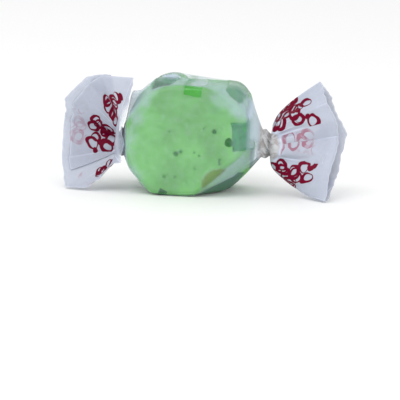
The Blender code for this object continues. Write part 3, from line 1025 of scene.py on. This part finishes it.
class TAFFY_OT_candy(bpy.types.Operator):
    """Models the cut of taffy with its stripes"""

    bl_idname = "taffy.candy"
    bl_label = "Candy"

    def execute(self, context):
        settings = context.scene.taffy_rope
        rope = add_rope("taffy_cut", settings)
        form = rope.copy()
        form.data = rope.data.copy()
        context.collection.objects.link(form)
        jelly = []
        # The blob of jelly gets light -1: painted shade.
        lights = [light for *_, light in STRIPES] + [-1]
        for stripe in STRIPES:
            channel = self.add_bar(stripe, settings, False)
            self.boolean(rope, channel, "DIFFERENCE")
            bpy.data.objects.remove(channel)
            jelly.append(self.add_bar(stripe, settings, True))
        jelly.append(self.add_blob(settings))
        self.boolean(rope, jelly[-1], "DIFFERENCE")
        for bar, light in zip(jelly, lights):
            self.boolean(bar, form, "INTERSECT")
            store_float(bar, "lit", np.full(len(bar.data.vertices), float(light)))
        bpy.data.objects.remove(form)
        stripes = self.join(jelly, "jelly_stripes")
        store_float(rope, "pit", pit_depths(get_points(rope))[1])
        rope.data.materials.clear()
        rope.data.materials.append(taffy_material(settings.rope_colour, settings.stripe_colour))
        stripes.data.materials.clear()
        stripes.data.materials.append(stripe_material(settings.stripe_colour, settings.lit_colour))
        for piece, slot, nodes in (
            (rope, "taffy_green", ["taffy"]),
            (stripes, "stripe_green", STRIPE_NODES),
        ):
            piece.data.polygons.foreach_set("material_index", np.zeros(len(piece.data.polygons), dtype=np.int32))
            self.shade(piece)
            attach(piece, "root")
            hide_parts(*nodes)
        return {"FINISHED"}

    def add_bar(self, stripe, settings, jelly):
        """A wavy bar along the rope that reaches the stripe's depth into its side: jelly, or its channel."""
        direction, width, depth, start, _ = stripe
        angle = math.radians(direction)
        over = 4.0
        length = settings.length / MM
        radius = float(outline_radius(np.array(angle), np.array(0.5))) / MM
        front = start - length / 2 if jelly or start > OPEN_START else -(length + over) / 2
        back = (length + over) / 2
        deselect_all()
        bpy.ops.mesh.primitive_cube_add(size=1)
        bar = new_piece("bar")
        bpy.ops.object.mode_set(mode="EDIT")
        bpy.ops.mesh.subdivide(number_cuts=24)
        bpy.ops.object.mode_set(mode="OBJECT")
        points = get_points(bar) * (depth + over, back - front, width)
        points[:, 1] += (front + back) / 2
        for point in points:
            wave = noise.noise(Vector((point[0] * 0.6, point[1] * 0.22, direction * 0.37)))
            point[2] += math.copysign(0.35, point[2]) * wave
            point[0] += 0.3 * noise.noise(Vector((direction * 0.21, point[1] * 0.2, point[2] * 0.5)))
        points[:, 0] += radius + (over - depth) / 2
        turn = np.array(Matrix.Rotation(-angle, 3, "Y"))
        set_points(bar, points * MM @ turn.T + (0, 0, settings.middle))
        return bar

    def add_blob(self, settings):
        """Jelly that was pulled out of a stripe into the cut face."""
        place, height, radius, reach = JELLY_BLOB
        deselect_all()
        bpy.ops.mesh.primitive_uv_sphere_add(segments=24, ring_count=16, radius=1)
        blob = new_piece("blob")
        front = -settings.length / 2 / MM
        points = get_points(blob) * (radius, reach, radius * 1.1)
        for point in points:
            point[0] += 0.3 * noise.noise(Vector(point) * 1.2)
        set_points(blob, (points + (place, front + 0.1, height)) * MM)
        return blob

    def shade(self, piece):
        deselect_all()
        piece.select_set(True)
        bpy.context.view_layer.objects.active = piece
        bpy.ops.object.shade_smooth_by_angle(angle=math.radians(40))

    def join(self, pieces, name):
        deselect_all()
        for piece in pieces:
            piece.select_set(True)
        bpy.context.view_layer.objects.active = pieces[0]
        bpy.ops.object.join()
        return new_piece(name)

    def boolean(self, piece, other, operation):
        cut = piece.modifiers.new("Cut", "BOOLEAN")
        cut.operation = operation
        cut.solver = "MANIFOLD"
        cut.object = other
        apply_modifiers(piece)


class TAFFY_OT_paper(bpy.types.Operator):
    """Wraps the candy in its twisted sheet of printed wax paper"""

    bl_idname = "taffy.paper"
    bl_label = "Wax paper"

    def execute(self, context):
        settings = context.scene.taffy_paper
        guide = add_rope("rope_guide", context.scene.taffy_rope)
        rows, flat, angles, lifted = sheet_shape(bvh_of(guide))
        bpy.data.objects.remove(guide)
        paper, k, i = add_sheet("wax_paper", rows)
        to_taffy, to_jelly = (
            np.array([tree.find_nearest(Vector(point))[3] for point in get_points(paper)]) / MM
            for tree in (bvh_of(bpy.data.objects["taffy_cut"]), bvh_of(bpy.data.objects["jelly_stripes"]))
        )
        gap = np.minimum(to_taffy, to_jelly) - CLING_GAP - LAYER_GAP * lifted[i] - pit_depths(get_points(paper))[0]
        jelly_and_shade = smooth((to_taffy - to_jelly) / 0.2 + 0.8)
        points = get_points(paper) / MM
        near_by = 1 - smooth(gap / 2)
        on_top = smooth((points[:, 2] - 15) / 3)
        # Over the stripe beside the ridge the paper gets part of the dark painted-shade colour.
        by_ridge = jelly_and_shade * on_top * smooth(-points[:, 0] / 1.5) * smooth((22.9 - points[:, 2]) / 0.5)
        veil = self.veil(points, gap) * (1 - 0.3 * by_ridge)
        shaded = self.underside(rows, np.degrees(angles))[k, i]
        bright = 23.3 - 1.4 * smooth(points[:, 0] / 2) * smooth(7 - points[:, 0])
        jelly_and_shade = np.maximum(jelly_and_shade * smooth((bright - points[:, 2]) / 0.6), shaded)
        away = np.hypot((points[:, 0] - 5.8) / 1.3, (points[:, 2] - 17.4) / 1.6)
        smudge = smooth(1.5 - away) * (points[:, 1] < -9)
        on_face = jelly_and_shade * smooth(-5.5 - points[:, 1]) * smooth((points[:, 0] - 8.8) / 0.8)
        on_face *= 0.62 + 0.8 * smooth((points[:, 0] - 11.8) / 0.5)
        veil = np.maximum(veil, np.maximum(np.maximum(2 * shaded, 1.3 * by_ridge), on_face)) + 0.3 * smudge
        store_float(paper, "veil", veil)
        # Painted light: how far the paper takes on the brighter tint of the candy's scattered light.
        store_float(paper, "tinted", 1 - smooth(gap / 2))
        # Painted light: over the jelly the paper is painted teal.
        teal = np.minimum(1.4 * near_by * jelly_and_shade, 1)
        teal = np.maximum(np.maximum(teal, 1.7 * by_ridge), 0.6 * smudge)
        # Value 2 marks the painted shade of the lower right side; up to 1 the paper over the jelly is painted teal.
        store_float(paper, "jelly_and_shade", np.maximum(teal, 2 * shaded))
        along, around, rim, half = sheet_map(flat, angles)
        twist = self.twist_zone(len(rows))
        crisp, faded, stain = self.print_zones(rows, along, np.degrees(angles))
        mouth, arc = self.mouth(along, np.degrees(angles))
        crease = np.maximum(smooth((sharpness(rows) - 0.8) / 2.4), arc)
        store_float(paper, "crease", crease[k, i])
        store_float(paper, "rim", rim[k, i])
        store_float(paper, "twist", np.maximum(twist[:, None], mouth)[k, i])
        store_float(paper, "flare", self.flare(len(rows))[k])
        store_float(paper, "sector", half[k, i])
        store_float(paper, "print_zone", crisp[k, i])
        store_float(paper, "faded_zone", faded[k, i])
        store_float(paper, "stain", stain[k, i])
        # Painted light on the right cone, where the paper stands off the candy's side.
        cone = smooth((points[:, 0] - 12) / 1.5) * smooth((veil - 0.9) / 0.8) * (1 - shaded)
        store_float(paper, "cone", cone * (1 - self.flare(len(rows))[k]))
        store_sheet_map(paper, along[k, i], around[k, i])
        wall = paper.modifiers.new("Paper thickness", "SOLIDIFY")
        wall.thickness = settings.thickness
        wall.offset = -1
        apply_modifiers(paper)
        paper.data.shade_smooth()
        paper.data.materials.append(
            paper_material(settings.colour, settings.tint, settings.ink_colour, crumple_group(), print_group())
        )
        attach(paper, "root")
        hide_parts("wrapper", "wrapper_left_end", "wrapper_right_end")
        return {"FINISHED"}

    def veil(self, points, gap):
        """How cloudy the paper looks: 0 where it clings to the candy, 1 where it is loose, 2 well away from it."""
        x, y, z = points.T
        middle = bpy.context.scene.taffy_rope.middle / MM
        face = -bpy.context.scene.taffy_rope.length / 2 / MM
        direction = np.arctan2(z - middle, x)
        reach = np.hypot(x, z - middle) / outline_radius(direction, np.zeros(len(x))) * MM
        border = np.array([wandering(*(point * 0.45)) for point in points])
        behind = y - face + 0.25 * border
        turn = np.degrees(direction)
        below = smooth(1.5 - np.abs(turn + 95) / 32)
        rounding = smooth((behind - 0.15) / 0.7) * (0.62 - 0.4 * below + 0.95 * smooth((z - 22.9) / 0.6))
        on_left = 0.4 * smooth((-x - 9.3) / 1.5) * smooth((z - 3) / 4)
        on_right = 0.3 * smooth((x - 9.3) / 1.5) + 0.9 * smooth((x - 11.6) / 1.2)
        rounding += on_right * smooth((z - 10) / 3) * smooth((behind - 0.6) / 1.5) + on_left * smooth(behind / 0.7)
        sides = np.interp(turn, *zip(*FACE_VEIL), period=360)
        on_face = smooth((reach - 0.66 + 0.10 * border) / 0.34) * sides
        close = smooth((-x - 7.5) / 1.5) * smooth(-8 - y)
        loose = smooth(gap / (0.5 + 0.9 * close))
        return np.maximum(np.maximum(loose, rounding), on_face) + smooth((gap - 0.6) / 1.8)

    def underside(self, rows, degrees):
        """Where the lower right side is in the shade of the sheet's free edge: 1 there and 0 elsewhere."""
        x, y, z = np.moveaxis(rows, 2, 0) / MM
        turned = degrees % 360
        edge = SHEET_START + SHEET_TURN - 360 + FREE_EDGE_SLANT * np.clip((x - 3) / 12, 0, 1)
        below = smooth((turned - edge + 2) / 4) * smooth((300 - turned) / 10)
        return below * smooth((x - 1) / 2) * smooth((16 - x) / 1.5)

    def twist_zone(self, count):
        """1 along each twisted neck and 0 beyond it, for each row."""
        row = np.arange(count)
        middle = FAN_ROWS + NECK_ROWS / 2
        away = np.minimum(np.abs(row - middle), np.abs(row - (count - 1 - middle)))
        return smooth((NECK_ROWS / 2 + 2.5 - away) / 2.5)

    def flare(self, count):
        """1 on both flared ends and 0 between the necks, for each row."""
        row = np.arange(count)
        return smooth((FAN_ROWS + 1 - np.minimum(row, count - 1 - row)) / 2)

    def mouth(self, along, degrees):
        """Where the right neck runs on into the flared end, up to the arc where the paper folds back over it."""
        out = along[-FAN_ROWS:]
        away = np.abs((degrees + RIGHT_TWIST) % 360 - 184) / 52
        end = 2.3 * np.sqrt(np.clip(1 - away**2, 0, 1))
        mouth = np.zeros_like(along)
        arc = np.zeros_like(along)
        mouth[-FAN_ROWS:] = smooth((end - out) / 0.5)
        arc[-FAN_ROWS:] = np.exp(-(((out - end - 0.2) / 0.35) ** 2)) * (away < 1)
        return mouth, arc

    def print_zones(self, rows, along, degrees):
        """Where the sheet carries crisp print, and where it carries faded print or a stain: 1 inside, 0 outside."""
        crisp = np.zeros_like(along)
        faded = np.zeros_like(along)
        left, right = slice(0, FAN_ROWS), slice(-FAN_ROWS, None)
        out = -along[left]
        _, middle, _ = sectors(degrees + LEFT_TWIST, LEFT_SECTORS)
        crisp[left] = smooth(out / 0.4) * (middle < 446 + LEFT_TWIST) * (np.abs(middle % 360 - 180) > 60)
        turned = (degrees + LEFT_TWIST + 180) % 360 - 180
        reach = 6.4 + 2.4 * smooth((np.abs(turned) - 20) / 50)
        faded[left] = 1.2 * smooth((out - reach) / 1.2) * smooth((12 - out) / 1.5)
        faded[left] *= 1 - 0.7 * smooth(1.5 - np.abs(turned - 70) / 25)
        out = along[right]
        _, middle, _ = sectors(degrees + RIGHT_TWIST, RIGHT_SECTORS)
        crisp[right] = smooth(out / 0.4) * (middle > 330 + RIGHT_TWIST) * (np.abs(middle % 360 - 180) > 10)
        between = 1 + 1.2 * (np.abs(middle % 360 - 180) < 10) * smooth((10 - out) / 4)
        faded[right] = smooth((out - 1.5) / 2.0) * smooth((12 - out) / 4.0) * (1 - crisp[right]) * between
        x, y, z = np.moveaxis(rows, 2, 0) / MM
        across, up = x - 5.5, z - 4.5
        length = 0.78 * across + 0.63 * up
        width = 0.78 * up - 0.63 * across + 0.09 * length**2
        stain = smooth(2 - (length / 2.5) ** 2 - (width / 0.9) ** 2) * (y < -9) * (degrees > 446)
        return crisp, faded, stain


class TAFFY_OT_stage(bpy.types.Operator):
    """Sets up the pale floor, the soft light and the camera"""

    bl_idname = "taffy.stage"
    bl_label = "Stage"

    def execute(self, context):
        self.add_floor()
        self.add_lights(context.scene)
        self.add_camera(context.scene)
        return {"FINISHED"}

    def add_floor(self):
        deselect_all()
        bpy.ops.mesh.primitive_plane_add(size=6)
        floor = new_piece("floor")
        material, _, _ = new_material("pale floor", (0.97, 0.97, 0.97), 0.6)
        floor.data.materials.append(material)

    def add_lights(self, scene):
        world = bpy.data.worlds.new("soft white")
        world.use_nodes = True
        world.node_tree.nodes["Background"].inputs["Color"].default_value = (1, 1, 1, 1)
        world.node_tree.nodes["Background"].inputs["Strength"].default_value = 0.92
        scene.world = world
        for name, place, size, power in (
            ("key light", (-0.25, -0.45, 0.60), 0.45, 1.7),
            ("fill light", (0.55, -0.50, 0.20), 0.50, 0.9),
        ):
            light = bpy.data.lights.new(name, "AREA")
            light.size = size
            light.energy = power
            lamp = bpy.data.objects.new(name, light)
            scene.collection.objects.link(lamp)
            lamp.location = place
            lamp.rotation_euler = (-Vector(place)).to_track_quat("-Z", "Y").to_euler()
        scene.view_settings.view_transform = "Standard"
        scene.cycles.transparent_max_bounces = 32

    def add_camera(self, scene):
        settings = scene.taffy_stage
        a, e, r = settings.azimuth, settings.elevation, settings.roll
        back = Vector((math.sin(a) * math.cos(e), -math.cos(a) * math.cos(e), math.sin(e)))
        face = Vector((0, -scene.taffy_rope.length / 2, scene.taffy_rope.middle))
        level = Vector((math.cos(a), math.sin(a), 0))
        upright = back.cross(level)
        right = level * math.cos(r) + upright * math.sin(r)
        up = upright * math.cos(r) - level * math.sin(r)
        eye = face + back * settings.distance
        metres_per_pixel = PHOTO_WIDTH_AT_FACE / PHOTO_PIXELS
        middle = PHOTO_PIXELS / 2
        aim = face + right * (middle - FACE_PIXEL[0]) * metres_per_pixel
        aim -= up * (middle - FACE_PIXEL[1]) * metres_per_pixel
        forward = (aim - eye).normalized()
        side = forward.cross(up).normalized()
        turn = Matrix((side, side.cross(forward), -forward)).transposed()
        data = bpy.data.cameras.new("camera")
        data.sensor_width = 36
        data.lens = 36 * settings.distance / PHOTO_WIDTH_AT_FACE
        camera = bpy.data.objects.new("camera", data)
        scene.collection.objects.link(camera)
        camera.matrix_world = Matrix.Translation(eye) @ turn.to_4x4()
        scene.camera = camera


# The photograph's frame: its width in pixels, where the cut face's middle is in it, and what the width spans there.
PHOTO_PIXELS = 400
FACE_PIXEL = (185, 140)
PHOTO_WIDTH_AT_FACE = 0.080


class TAFFY_PT_panel(bpy.types.Panel):
    """Shows the taffy's settings and a button for each of its steps"""

    bl_idname = "TAFFY_PT_panel"
    bl_label = "Salt Water Taffy"
    bl_space_type = "VIEW_3D"
    bl_region_type = "UI"
    bl_category = "Taffy"

    def draw(self, context):
        scene = context.scene
        for group in (scene.taffy_rope, scene.taffy_paper, scene.taffy_stage):
            for name in group.bl_rna.properties.keys():
                if name not in ("rna_type", "name"):
                    self.layout.prop(group, name)
        for operator in STEPS:
            self.layout.operator(operator.bl_idname)


GROUPS = {"taffy_rope": TaffyRope, "taffy_paper": TaffyPaper, "taffy_stage": TaffyStage}
STEPS = (TAFFY_OT_candy, TAFFY_OT_paper, TAFFY_OT_stage)


def register():
    for cls in (*GROUPS.values(), *STEPS, TAFFY_PT_panel):
        bpy.utils.register_class(cls)
    for name, cls in GROUPS.items():
        setattr(bpy.types.Scene, name, PointerProperty(type=cls))


def unregister():
    for name in GROUPS:
        delattr(bpy.types.Scene, name)
    for cls in (TAFFY_PT_panel, *STEPS, *GROUPS.values()):
        bpy.utils.unregister_class(cls)


def main():
    register()
    bpy.ops.taffy.candy()
    bpy.ops.taffy.paper()
    bpy.ops.taffy.stage()


if __name__ == "__main__":
    main()
